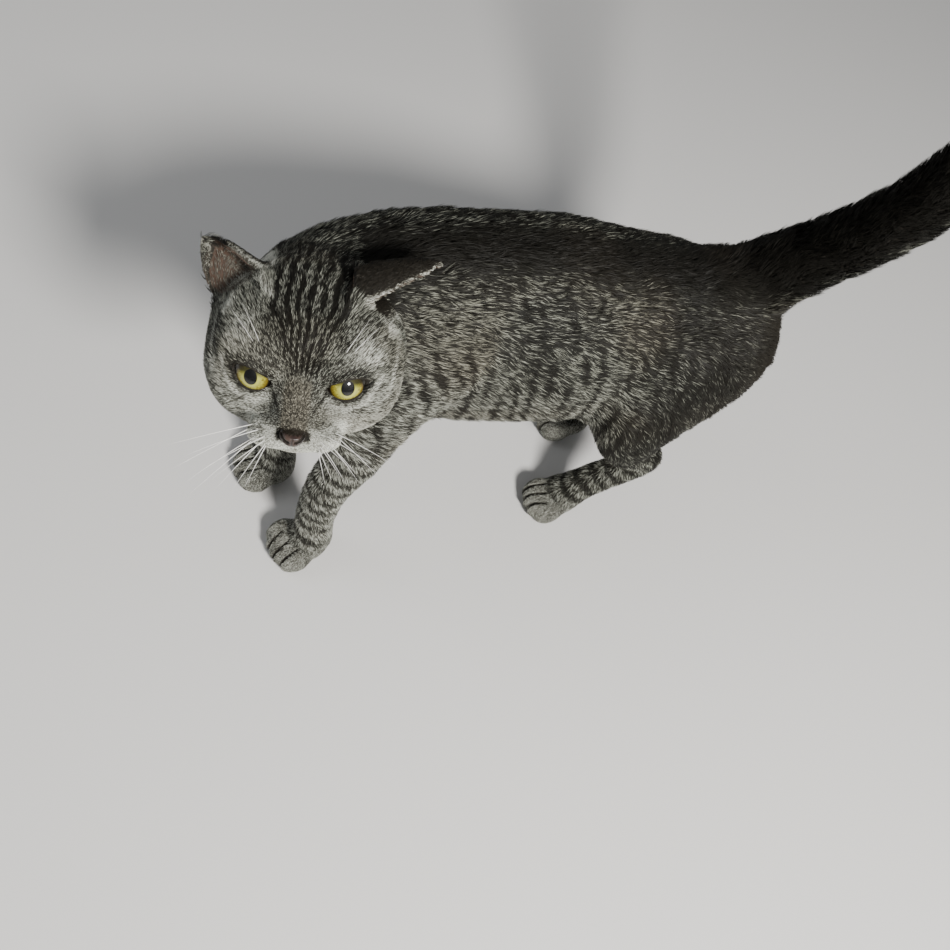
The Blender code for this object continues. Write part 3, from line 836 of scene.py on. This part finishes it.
class Paint:
    """A material under construction: each method adds a node and gives its output."""

    def __init__(self, name):
        self.material = bpy.data.materials.new(name)
        self.material.use_nodes = True
        self.tree = self.material.node_tree
        self.shader = self.tree.nodes["Principled BSDF"]

    def node(self, kind, **settings):
        node = self.tree.nodes.new(kind)
        for key, value in settings.items():
            setattr(node, key, value)
        return node

    def put(self, socket, value):
        if isinstance(value, bpy.types.NodeSocket):
            self.tree.links.new(value, socket)
        else:
            socket.default_value = value

    def fed(self, kind, *values, **settings):
        """The first output of a node whose first inputs are given."""
        node = self.node(kind, **settings)
        for socket, value in zip(node.inputs, values):
            self.put(socket, value)
        return node.outputs[0]

    def filled(self, kind, output, **inputs):
        """The named output of a node whose inputs are given by name."""
        node = self.node(kind)
        for name, value in inputs.items():
            self.put(node.inputs[name], value)
        return node.outputs[output]

    def math(self, operation, *values):
        return self.fed("ShaderNodeMath", *values, operation=operation)

    def times(self, a, b):
        return self.math("MULTIPLY", a, b)

    def squares(self, a, b):
        return self.math("ADD", self.times(a, a), self.times(b, b))

    def ramp(self, value, low, high, start=0.0, end=1.0):
        return self.fed("ShaderNodeMapRange", value, low, high, start, end, interpolation_type="SMOOTHSTEP")

    def mix(self, share, a, b, way="MIX"):
        node = self.node("ShaderNodeMix", data_type="RGBA", blend_type=way)
        self.put(node.inputs[0], share)
        for socket, value in ((node.inputs[6], a), (node.inputs[7], b)):
            self.put(socket, value if isinstance(value, bpy.types.NodeSocket) else (*value, 1.0))
        return node.outputs[2]

    def attribute(self, name, output="Fac"):
        return self.node("ShaderNodeAttribute", attribute_name=name).outputs[output]

    def noise(self, scale, detail=3.0, where=None):
        place = where or self.node("ShaderNodeTexCoord").outputs["Object"]
        return self.filled("ShaderNodeTexNoise", "Fac", Scale=scale, Detail=detail, Vector=place)

    def bump(self, height, strength, distance):
        return self.filled("ShaderNodeBump", "Normal", Strength=strength, Distance=distance, Height=height)

    def finish(self, **inputs):
        for name, value in inputs.items():
            self.put(self.shader.inputs[name.replace("_", " ")], value)
        return self.material


BLACK_HAIR = (0.011, 0.010, 0.008)
GREY_BAND = (0.262, 0.268, 0.222)
PALE_BAND = (0.640, 0.650, 0.580)
WARM_BAND = (0.185, 0.138, 0.078)
UNDERCOAT = (0.017, 0.017, 0.014)
EAR_SKIN = (0.050, 0.032, 0.024)


def tabby(paint, chance, band):
    """The tabby's colour: each hair is dark with a light band, and the markings, with their painted light and shade,
    say how many are light.
    """
    marks_and_shading = paint.node("ShaderNodeAttribute", attribute_name="marks_and_shading")
    parts = paint.node("ShaderNodeSeparateColor")
    paint.put(parts.inputs[0], marks_and_shading.outputs["Color"])
    dark, pale, warm = parts.outputs
    light = paint.mix(pale, GREY_BAND, PALE_BAND)
    light = paint.mix(paint.times(warm, 0.5), light, WARM_BAND)
    many = paint.math("ADD", 0.40, paint.times(pale, 0.55))
    many = paint.math("SUBTRACT", many, paint.times(dark, 0.58))
    lit = paint.ramp(paint.math("SUBTRACT", many, chance), -0.14, 0.12)
    ground = paint.mix(paint.times(pale, 0.8), UNDERCOAT, (0.20, 0.19, 0.155))
    ground = paint.mix(paint.times(dark, 0.92), ground, BLACK_HAIR)
    ground = paint.mix(paint.times(warm, 0.25), ground, (0.046, 0.034, 0.020))
    return paint.mix(paint.times(lit, band), ground, light), marks_and_shading.outputs["Alpha"]


def coat_material():
    paint = Paint("tabby_coat")
    along = paint.attribute("along")
    rise = paint.ramp(along, 0.25, 0.58)
    fall = paint.ramp(along, 0.82, 1.0, 1.0, 0.35)
    colour, bare = tabby(paint, paint.attribute("chance"), paint.times(rise, fall))
    colour = paint.mix(paint.times(bare, 0.6), colour, (0.120, 0.105, 0.085))
    root = paint.ramp(along, 0.0, 0.5, 0.45, 1.0)
    colour = paint.mix(1.0, colour, paint.fed("ShaderNodeCombineColor", root, root, root), "MULTIPLY")
    return paint.finish(Base_Color=colour, Roughness=0.55, Specular_IOR_Level=0.12)


def skin_material():
    paint = Paint("tabby_skin")
    fine = paint.noise(1500.0, 2.0)
    colour, bare = tabby(paint, paint.ramp(fine, 0.32, 0.68), 0.75)
    colour = paint.mix(0.45, colour, (0.030, 0.026, 0.021))
    pink = paint.mix(paint.noise(220.0), EAR_SKIN, (0.110, 0.075, 0.056))
    colour = paint.mix(bare, colour, pink)
    normal = paint.bump(fine, 0.7, 0.0006)
    return paint.finish(Base_Color=colour, Roughness=0.65, Specular_IOR_Level=0.10, Normal=normal)


COAT = coat_material()
SKIN = skin_material()


# ---- what the skin knows, at each of its points

skin_points = coordinates(skin_mesh)
skin_normals = read(skin_mesh.vertex_normals, "vector", kind=np.float32).astype(float)
skin_share = shares(skin_points)
skin_hair = hair_at(skin_points, skin_share)
skin_lie = lie_at(skin_points, skin_share)
skin_places = unwrap(skin_mesh, skin_share, skin_normals)
set_attribute(skin_mesh, "marks_and_shading", markings_and_shading(skin_points, skin_normals, skin_share))
set_places(skin_mesh, skin_places)

# ---- the coat

TUFTS = 150000
BLADES = 3
MOST_TUFTS = 21000
PATCH = 0.003
BLADE_PATCH = np.array([[-1 / 7, -1 / 2], [1 / 7, -1 / 2], [-1 / 7, 0], [1 / 7, 0], [0, 1 / 2]])
MIDWAY = 0.52
ALONG = [0.0, 0.0, MIDWAY, MIDWAY, 1.0]
BLADE_FACES = np.array([[0, 1, 3], [0, 3, 2], [2, 3, 4]])


def turned(v, axis, angle):
    """v turned about a perpendicular axis."""
    return v * np.cos(angle)[:, None] + np.cross(axis, v) * np.sin(angle)[:, None]


def bareness(p, n, share):
    """1 where no hair grows."""
    bare = np.zeros(len(p))
    for side in BOTH:
        from_base = np.linalg.norm(p - ear_base(side), axis=1)
        inside = ear_inside(n, share, side) * (1 - ear_edge(p, n, share, side))
        bare = np.maximum(bare, inside * (0.85 - 0.5 * smoothstep(0.016, 0.008, from_base)))
    q = to_head(p)
    nose = (q[:, 0] / 0.0052) ** 2 + ((q[:, 2] + 0.0172) / 0.0030) ** 2
    distance, toes = toe_grooves(p)
    bald = ((nose < 1.0) & (q[:, 1] < -0.0255)) | ((toes > 0.5) & (distance < 0.0007))
    bald |= (mouth_distance(q) < 0.0008) | (p[:, 2] < 0.0016)
    for side in BOTH:
        bald |= lid_gap(p, side)[0] < 0.0013
    return np.where(bald, 1.0, bare)


def sow(mesh, corner_places):
    """Roots over the skin, as many to an area as the region asks: what each root needs to know."""
    mesh.calc_loop_triangles()
    corners, loops = read(mesh.loop_triangles, "vertices"), read(mesh.loop_triangles, "loops")
    p = skin_points[corners]
    area = np.linalg.norm(np.cross(p[:, 1] - p[:, 0], p[:, 2] - p[:, 0]), axis=1) / 2
    wanted = area * (skin_hair[:, 3] * (1 - skin_bare))[corners].mean(1)
    total = np.cumsum(wanted)
    picks = (np.arange(TUFTS) + rng.random(TUFTS)) / TUFTS * total[-1]
    triangle = np.minimum(np.searchsorted(total, picks), len(total) - 1)
    r1, r2 = np.sqrt(rng.random(TUFTS)), rng.random(TUFTS)
    weight = np.column_stack([1 - r1, r1 * (1 - r2), r1 * r2])
    place = (corner_places[loops[triangle]] * weight[:, :, None]).sum(1)
    root, normal, hair, lie, share = (
        (values[corners[triangle]] * weight[:, :, None]).sum(1)
        for values in (skin_points, skin_normals, skin_hair, skin_lie, skin_share)
    )
    return root, unit(normal), hair, lie, share, place


def blades(root, normal, hair, lie, place):
    """The points, and places on the unwrap, of every blade: five to a blade, three blades to a tuft."""
    length, height, width = hair[:, 0], hair[:, 1], hair[:, 2]
    swirl = (noise(root, 0.011, 21) - 0.5) * 0.8 + (noise(root, 0.0035, 22) - 0.5) * 0.6
    swirl = swirl + rng.normal(0, 0.10, len(root))
    swirl *= 0.30 + 0.70 * smoothstep(0.0035, 0.0080, length)
    run = unit(lie - normal * (lie * normal).sum(1)[:, None])
    run = turned(run, normal, swirl)
    lift = 0.55 + 0.9 * noise(root, 0.0045, 23) * rng.uniform(0.6, 1.2, len(root))
    root_level = flesh(root)
    spacing = 0.5 / np.sqrt(hair[:, 3])
    meeting = rng.normal(0, 0.35, (len(root), 1)) * spacing[:, None]
    points, places = [], []
    for k in range(BLADES):
        across = np.cross(normal, run)
        aside, onward = rng.normal(0, 1.0, (len(root), 1)), rng.normal(0, 1.0, (len(root), 1))
        start = root + (across * aside + run * onward) * spacing[:, None]
        way = turned(run, normal, rng.normal(0, 0.09, len(root)))
        reach = length * rng.uniform(0.72, 1.1, len(root))
        roll = rng.normal(0, 0.45, len(root))
        side = np.cross(way, normal) * np.cos(roll)[:, None] + normal * np.sin(roll)[:, None]
        tip = start + way * reach[:, None]
        tip += across * (meeting - ((tip - root) * across).sum(1)[:, None] * 0.45)
        middles = start + (tip - start) * MIDWAY
        levels = ((start, -0.0002), (middles, 0.62 * height * lift), (tip, 0.98 * height * lift))
        start, middles, tip = (step_to(point, root_level + level, 0.3, 0.006) for point, level in levels)
        half = side * (width * 0.5)[:, None]
        one = np.stack([start - half, start + half, middles - half * 0.85, middles + half * 0.85, tip], 1)
        one[:, :, 2] = np.maximum(one[:, :, 2], FLOOR_GAP)
        points.append(one)
        places.append(place[:, None] + PATCH * (BLADE_PATCH + [(k - 1) / 3, 0]))
    return np.stack(points, 1), np.clip(np.stack(places, 1), 0, 1)


def coat_piece(name, points, places, marks_and_shading, chance):
    """One mesh of tufts: points and places are tuft by blade by five."""
    count = len(points) * BLADES
    faces = (np.arange(count)[:, None, None] * len(ALONG) + BLADE_FACES).reshape(-1, 3)
    mesh = bpy.data.meshes.new(name)
    mesh.vertices.add(count * len(ALONG))
    move_points(mesh, points)
    mesh.loops.add(faces.size)
    mesh.loops.foreach_set("vertex_index", faces.ravel().astype(np.int32))
    mesh.polygons.add(len(faces))
    mesh.polygons.foreach_set("loop_start", np.arange(0, faces.size, 3, dtype=np.int32))
    mesh.update(calc_edges=True)
    set_places(mesh, places.reshape(-1, 2)[faces.ravel()])
    set_attribute(mesh, "marks_and_shading", np.repeat(marks_and_shading, BLADES * len(ALONG), axis=0))
    set_attribute(mesh, "along", np.tile(ALONG, count))
    own = np.mod(np.repeat(chance, BLADES) + rng.normal(0, 0.20, count), 1.0)
    set_attribute(mesh, "chance", np.repeat(own, len(ALONG)))
    piece = add_piece(name, mesh, COAT)
    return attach(piece, "root")


def grow_coat():
    root, normal, hair, lie, share, place = sow(skin_mesh, skin_places)
    points, places = blades(root, normal, hair, lie, place)
    marks_and_shading = markings_and_shading(root, normal, share)
    chance = rng.random(len(root))
    owner = share.argmax(1)
    groups = {
        "head": ("head", "ear_left", "ear_right"),
        "neck": ("neck",),
        "trunk": ("trunk",),
        "hindquarters": ("rump", "thigh_left", "thigh_right"),
        "tail": ("tail",),
    }
    named = sum(groups.values(), ())
    groups["legs"] = tuple(name for name in NAMES if name not in named)
    for group, members in groups.items():
        chosen = np.flatnonzero(np.isin(owner, [NAMES.index(m) for m in members]))
        chosen = chosen[np.argsort(root[chosen, 1], kind="stable")]
        for k, some in enumerate(np.array_split(chosen, math.ceil(len(chosen) / MOST_TUFTS)), 1):
            coat_piece(f"coat_{group}_{k}", points[some], places[some], marks_and_shading[some], chance[some])


skin = add_piece("skin", skin_mesh, SKIN)
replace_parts(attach(skin, "root"), *FLESH)
skin_bare = bareness(skin_points, skin_normals, skin_share)
grow_coat()

# ---- eyes


def ball(detail):
    bm = bmesh.new()
    bmesh.ops.create_icosphere(bm, subdivisions=detail, radius=1.0)
    mesh = bpy.data.meshes.new("ball")
    bm.to_mesh(mesh)
    bm.free()
    return mesh


def eye_material():
    paint = Paint("eye")
    parts = paint.node("ShaderNodeSeparateXYZ")
    paint.put(parts.inputs[0], paint.attribute("look", "Vector"))
    x, y, _ = parts.outputs
    around = paint.math("ARCTAN2", y, x)
    out = paint.math("SQRT", paint.squares(x, y))
    polar = paint.fed("ShaderNodeCombineXYZ", paint.times(around, 5.0), paint.times(out, 3.0))
    fibre = paint.noise(3.2, 5.0, polar)
    iris = paint.mix(paint.ramp(fibre, 0.34, 0.66), (0.130, 0.105, 0.008), (0.420, 0.400, 0.060))
    iris = paint.mix(paint.ramp(out, 0.30, 0.50), (0.400, 0.400, 0.085), iris)
    iris = paint.mix(paint.ramp(out, 0.46, 0.66), iris, (0.130, 0.090, 0.010))
    iris = paint.mix(paint.ramp(out, 0.62, 0.70), iris, (0.008, 0.006, 0.004))
    # Painted shade of the upper lid: the top of the eyeball darkens to near-black.
    iris = paint.mix(paint.ramp(y, 0.00, 0.30, 0.0, 0.92), iris, (0.010, 0.008, 0.004))
    wide, tall = paint.math("DIVIDE", x, 0.27), paint.math("DIVIDE", paint.math("SUBTRACT", y, 0.05), 0.33)
    pupil = paint.squares(wide, tall)
    iris = paint.mix(paint.ramp(pupil, 1.12, 0.88), iris, (0.002, 0.002, 0.002))
    normal = paint.bump(fibre, 0.25, 0.0004)
    gloss = {"Coat_Weight": 1.0, "Coat_Roughness": 0.02, "Coat_IOR": 1.45}
    return paint.finish(Base_Color=iris, Roughness=0.45, Specular_IOR_Level=0.1, Normal=normal, **gloss)


def make_eye(side):
    centre, _, out = EYES[side]
    gaze = unit(np.array([0.20 * out, -0.975, -0.07]) @ HEAD_AXES)
    across = unit(np.cross(gaze, HEAD_AXES[2]))
    up = np.cross(across, gaze)
    mesh = ball(6)
    local = coordinates(mesh)
    angle = np.arccos(np.clip(local[:, 2], -1, 1))
    radius = EYE_RADIUS * (0.992 + 0.055 * bell(angle, 0.60))
    points = centre + (local @ np.array([across, up, gaze])) * radius[:, None]
    move_points(mesh, points)
    look = mesh.attributes.new("look", "FLOAT_VECTOR", "POINT")
    look.data.foreach_set("vector", local.ravel().astype(np.float32))
    eye = add_piece(f"eyeball_{side}", mesh, EYE)
    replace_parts(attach(eye, "root"), f"eye_{side}")


# ---- nose

NOSTRIL = [(0.0016, 0, -0.0013), (0.0030, 0, -0.0006), (0.0042, 0, 0.0008), (0.0048, 0, 0.0016)]


def nose_material():
    paint = Paint("nose_leather")
    painted_nose_shade = paint.attribute("painted_nose_shade")
    grain = paint.noise(2600.0, 3.0)
    mottle = paint.ramp(paint.noise(420.0), 0.35, 0.65)
    colour = paint.mix(mottle, (0.024, 0.013, 0.010), (0.052, 0.031, 0.023))
    # Painted shade in the nostrils, in the middle fold and round the nose's edge.
    colour = paint.mix(painted_nose_shade, colour, (0.006, 0.004, 0.003))
    normal = paint.bump(grain, 0.5, 0.0002)
    return paint.finish(Base_Color=colour, Roughness=0.42, Normal=normal, Coat_Weight=0.2, Coat_Roughness=0.3)


def make_nose():
    centre = to_head(middle("nose_leather")[None])[0]
    mesh = ball(6)
    s = coordinates(mesh)
    wide = 0.0050 * (1 + 0.22 * s[:, 2])
    shape = np.column_stack([s[:, 0] * wide, s[:, 1] * 0.0034, s[:, 2] * 0.0040])
    front = smoothstep(0.1, 0.5, -s[:, 1])
    fold = bell(shape[:, 0], 0.00045) * smoothstep(0.0012, -0.0012, shape[:, 2]) * front
    flat = shape * np.array([1, 0, 1])
    nostril = np.zeros(len(s))
    for out in (1, -1):
        nostril = np.maximum(nostril, near_line(flat, on_side(NOSTRIL, out), 0.00062) * front)
    shape[:, 1] += 0.0005 * fold + 0.0017 * nostril
    shape[:, 1] += 0.0026 * smoothstep(0.0006, 0.0034, shape[:, 2])
    # Painted shade: dark in the nostrils, the fold and towards the nose's rim.
    edge = smoothstep(0.50, 0.95, np.linalg.norm(s[:, [0, 2]], axis=1))
    move_points(mesh, from_head(centre + shape))
    set_attribute(mesh, "painted_nose_shade", np.clip(nostril * 1.3 + 0.7 * fold + 0.75 * edge, 0, 1))
    nose = add_piece("nose", mesh, NOSE)
    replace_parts(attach(nose, "root"), "nose_leather")


# ---- whiskers


def whisker_material():
    paint = Paint("whisker")
    colour = paint.mix(paint.noise(300.0), (0.72, 0.71, 0.67), (0.90, 0.89, 0.85))
    return paint.finish(Base_Color=colour, Roughness=0.35)


def skin_under(point):
    """The nearest place on the flesh, a little way in."""
    return settle(np.array([point], float), np.array([0.0012]), 6)[0]


def whisker(root, way, length, droop, thick):
    """The middle line of one whisker, kept within reach of the solids' box."""
    room = (HIGH - LOW) * 0.03 + 0.008
    for _ in range(12):
        t = np.linspace(0, 1, 11)[:, None]
        line = root + unit(way) * length * t - UP * droop * length * t**2
        if ((line > LOW - room) & (line < HIGH + room)).all():
            break
        length *= 0.94
    return line, thick * (1 - 0.93 * t[:, 0] ** 1.3)


SIDES = 5


def make_whiskers():
    lines = []
    for out in (1.0, -1.0):
        for row in range(4):
            for k in range(1 if row == 3 else 3):
                q = [out * (0.0105 + 0.0022 * k), -0.0250 + 0.0038 * k, -0.0178 - 0.0022 * row]
                root = skin_under(from_head(q))
                down = math.radians(4 + 17 * row + 5 * (3 - k) + rng.uniform(-5, 5))
                forward = math.radians(18 + 13 * (3 - k) + 5 * row)
                way = np.array([out * math.cos(down), -math.sin(forward), -math.sin(down) * 0.8]) @ HEAD_AXES
                length = (0.046 - 0.005 * (3 - k) - 0.004 * row) * rng.uniform(0.85, 1.12)
                lines.append(whisker(root, way, length, rng.uniform(0.04, 0.16), 0.00021))
        for k in range(2):
            root = skin_under(from_head([out * (0.0165 + 0.003 * k), -0.003 + 0.002 * k, 0.0105]))
            way = np.array([out * (0.45 + 0.2 * k), 0.30, 0.8]) @ HEAD_AXES
            lines.append(whisker(root, way, 0.020 - 0.003 * k, 0.10, 0.00012))
    points, faces = [], []
    ring = np.arange(SIDES) * 2 * np.pi / SIDES
    for line, thick in lines:
        along = unit(np.gradient(line, axis=0))
        side = unit(np.cross(along, [0.3, 0.2, 0.9]))[:, None]
        other = np.cross(along, side[:, 0])[:, None]
        round_it = side * np.cos(ring)[:, None] + other * np.sin(ring)[:, None]
        base, last = len(points), (len(line) - 1) * SIDES
        points.extend((line[:, None] + round_it * thick[:, None, None]).reshape(-1, 3).tolist())
        for start in range(base, base + last, SIDES):
            for a in range(SIDES):
                b = (a + 1) % SIDES
                faces.append((start + a, start + b, start + SIDES + b, start + SIDES + a))
        faces.append(tuple(base + last + a for a in range(SIDES)))
        faces.append(tuple(base + SIDES - 1 - a for a in range(SIDES)))
    mesh = bpy.data.meshes.new("whiskers")
    mesh.from_pydata(points, [], faces)
    piece = add_piece("whiskers", mesh, WHISKER)
    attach(piece, "root")


EYE, NOSE, WHISKER = eye_material(), nose_material(), whisker_material()
make_eye("left")
make_eye("right")
make_nose()
make_whiskers()

# ---- stage, light and camera

floor_mesh = bpy.data.meshes.new("floor")
floor_mesh.from_pydata([(-4, -4, 0), (4, -4, 0), (4, 4, 0), (-4, 4, 0)], [], [(0, 1, 2, 3)])
floor = add_piece("floor", floor_mesh, Paint("floor").finish(Base_Color=(0.72, 0.71, 0.69, 1), Roughness=0.7))

world = bpy.data.worlds.new("studio")
bpy.context.scene.world = world
world.use_nodes = True
sky = world.node_tree.nodes["Background"]
sky.inputs["Color"].default_value = (0.95, 0.97, 1.0, 1)
sky.inputs["Strength"].default_value = 0.26


def softbox(name, place, aim, size, power, colour):
    light = bpy.data.lights.new(name, "AREA")
    light.shape, light.size, light.energy, light.color = "DISK", size, power, colour
    holder = bpy.data.objects.new(name, light)
    holder.location = place
    holder.rotation_mode = "QUATERNION"
    holder.rotation_quaternion = (Vector(aim) - Vector(place)).to_track_quat("-Z", "Y")
    bpy.context.scene.collection.objects.link(holder)


softbox("key", (1.0, 0.05, 1.0), (0, -0.05, 0.15), 0.26, 33, (1.0, 0.98, 0.95))
softbox("fill", (-0.5, -1.2, 1.1), (0, -0.05, 0.15), 1.0, 4, (0.93, 0.96, 1.0))

lens = bpy.data.cameras.new("camera")
lens.sensor_width, lens.lens, lens.clip_start = 36.0, 36.04, 0.01
camera = bpy.data.objects.new("camera", lens)
camera.location = (0.2791, -0.2360, 0.5875)
camera.rotation_mode = "QUATERNION"
camera.rotation_quaternion = Quaternion((0.7415, 0.2747, 0.0614, 0.6091)).normalized()
bpy.context.scene.collection.objects.link(camera)
bpy.context.scene.camera = camera
